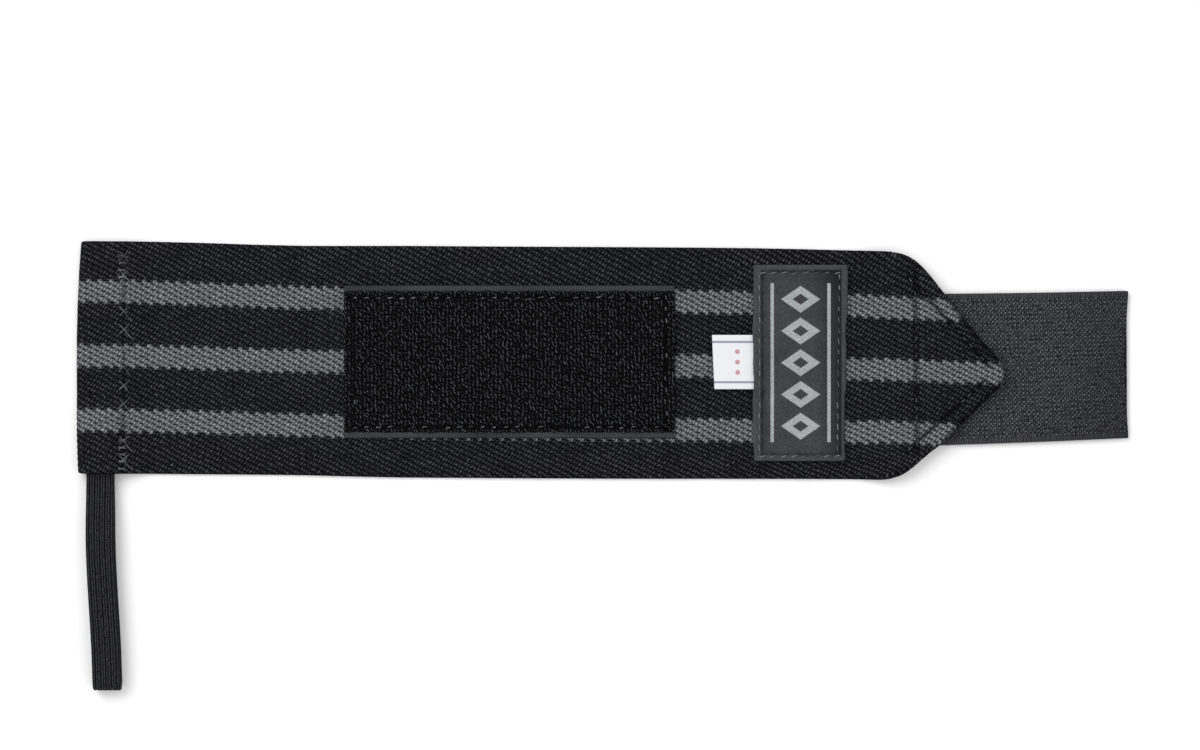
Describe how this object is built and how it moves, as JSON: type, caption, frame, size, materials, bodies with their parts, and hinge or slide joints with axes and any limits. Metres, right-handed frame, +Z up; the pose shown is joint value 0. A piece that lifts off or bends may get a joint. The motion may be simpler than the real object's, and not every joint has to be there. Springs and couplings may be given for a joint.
{
  "type": "wrist wrap",
  "caption": "Striped elastic wrist wrap lying flat, with a thumb loop at one end, a folded point with a hook-and-loop tab at the other, and a soft pile patch, label and tag on top.",
  "frame": {"origin": "centre of the wrap's footprint, tab and thumb loop included, on the surface that it lies on", "axes": "+X along the wrap, towards the hook tab; +Z up off the surface, the side with the pile patch; the thumb loop reaches towards -Y"},
  "size_m": [0.345, 0.1472, 0.0072],
  "materials": {
    "band_cloth": "coarse ribbed elastic weave, black with three grey stripes",
    "loop_elastic": "narrow ribbed elastic, charcoal",
    "hook_tape": "woven nylon back, charcoal, slight sheen",
    "pile_tape": "curly black pile with grey selvedges",
    "label_cloth": "dense satin weave, dark grey",
    "tag_ribbon": "smooth white ribbon"
  },
  "bodies": {
    "root": {"elastic_band": "band_cloth", "thumb_loop": "loop_elastic", "hook_tab": "hook_tape", "loop_patch": "pile_tape", "sewn_label": "label_cloth", "ribbon_tag": "tag_ribbon"}
  },
  "joints": []
}
